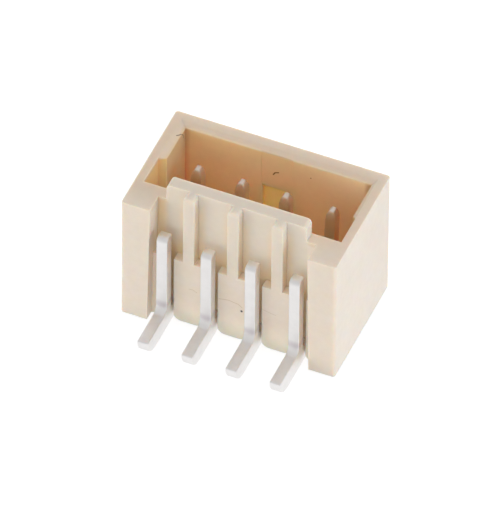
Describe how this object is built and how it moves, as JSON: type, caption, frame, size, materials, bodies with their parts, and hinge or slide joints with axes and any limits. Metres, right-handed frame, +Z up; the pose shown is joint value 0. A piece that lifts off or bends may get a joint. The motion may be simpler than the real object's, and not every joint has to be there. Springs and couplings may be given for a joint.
{
  "type": "surface mount pin header",
  "caption": "Upright surface mount board header: an ivory moulded shroud, open at the top and keyed in front, around a row of square pins whose tall solder feet stand out in front.",
  "frame": {"origin": "middle of the whole outline, on the face of the board", "axes": "+X along the row of pins, contact_1 at -X and contact_4 at +X; -Y is the side that the solder feet point to; +Z up, away from the board and out of the mouth"},
  "size_m": [0.0098, 0.0078, 0.0075],
  "materials": {
    "housing": "fine spark-eroded mould texture, thin walls let warm light through",
    "contact": "matt tin plate over copper alloy"
  },
  "bodies": {
    "root": {"housing": "housing", "contact_1": "contact", "contact_2": "contact", "contact_3": "contact", "contact_4": "contact"}
  },
  "joints": []
}
